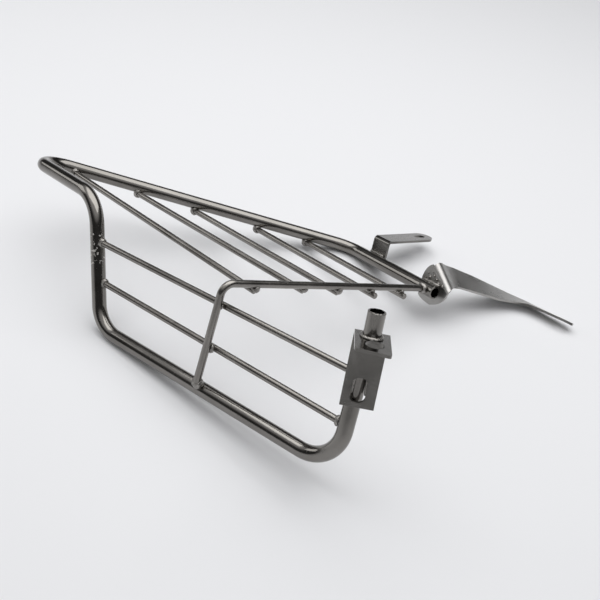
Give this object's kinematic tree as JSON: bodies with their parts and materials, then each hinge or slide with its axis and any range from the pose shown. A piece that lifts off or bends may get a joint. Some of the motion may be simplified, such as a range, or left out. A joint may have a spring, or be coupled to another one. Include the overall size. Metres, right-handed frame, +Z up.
{
  "type": "side luggage rack",
  "caption": "Welded tubular steel side luggage rack for a motorcycle, with a barred side panel, a barred carrying deck and bent mounting brackets",
  "frame": {"origin": "on the floor, under the middle of the bounding box of the rack as it lies at rest", "axes": "+X along the bottom rail from the left post to the right post in plan, +Y away from the side panel across the deck, +Z up from the floor"},
  "size_m": [0.592, 0.4208, 0.2052],
  "materials": {
    "tube": "dark smoked chrome plating on steel tube",
    "rod": "dark smoked chrome plating on steel bar",
    "plate": "dark plating over rolled plate, slightly satin",
    "weld": "rough plated weld metal"
  },
  "bodies": {
    "root": {"deck_bar_1": "rod", "deck_bar_2": "rod", "deck_bar_3": "rod", "deck_bar_4": "rod", "deck_bar_5": "rod", "inner_rod": "rod", "long_strap": "plate", "main_tube": "tube", "rear_bracket": "plate", "side_bar_lower": "rod", "side_bar_upper": "rod", "slot_bracket": "plate", "spacer_tube": "tube", "weld_deck_bar_1_rail": "weld", "weld_deck_bar_1_rod": "weld", "weld_deck_bar_2_rail": "weld", "weld_deck_bar_2_rod": "weld", "weld_deck_bar_3_rail": "weld", "weld_deck_bar_3_rod": "weld", "weld_deck_bar_4_rail": "weld", "weld_deck_bar_4_rod": "weld", "weld_deck_bar_5_rail": "weld", "weld_deck_bar_5_rod": "weld", "weld_inner_rod_end": "weld", "weld_inner_rod_foot": "weld", "weld_long_strap_bottom": "weld", "weld_long_strap_top": "weld", "weld_rear_bracket": "weld", "weld_side_bar_lower_left": "weld", "weld_side_bar_lower_right": "weld", "weld_side_bar_lower_rod": "weld", "weld_side_bar_upper_left": "weld", "weld_side_bar_upper_right": "weld", "weld_side_bar_upper_rod": "weld", "weld_slot_bracket_left": "weld", "weld_slot_bracket_right": "weld", "weld_spacer_tube": "weld"}
  },
  "joints": []
}
